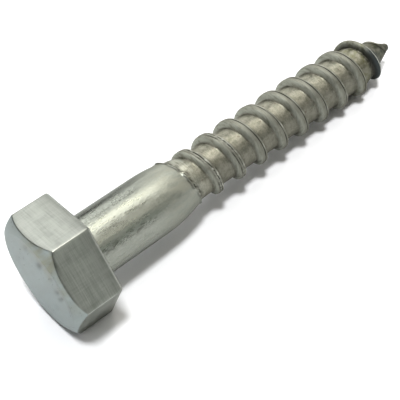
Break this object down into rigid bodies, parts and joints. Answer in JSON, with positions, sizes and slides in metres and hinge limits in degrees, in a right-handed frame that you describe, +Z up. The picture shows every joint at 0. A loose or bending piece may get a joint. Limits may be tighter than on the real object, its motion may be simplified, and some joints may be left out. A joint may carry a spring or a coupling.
{
  "type": "lag screw",
  "caption": "Hexagon-head lag screw with a short plain shank, a coarse rolled wood thread and a conical point, in satin stainless steel.",
  "frame": {"origin": "centre of the bearing face under the head, on the screw's axis", "axes": "+X along the screw towards its point and level with the surface it lies on: the axis itself dips 4.18 degrees below +X, as the screw rests on its head and on the crest of its thread. +Z is up, and one flat of the head is on top."},
  "size_m": [0.0711, 0.0196, 0.0174],
  "materials": {
    "steel": "satin stainless steel, cold forged and rolled, with brushed streaks on the flats and a slight warm grey tint"
  },
  "bodies": {
    "root": {"lag_screw": "steel"}
  },
  "joints": []
}
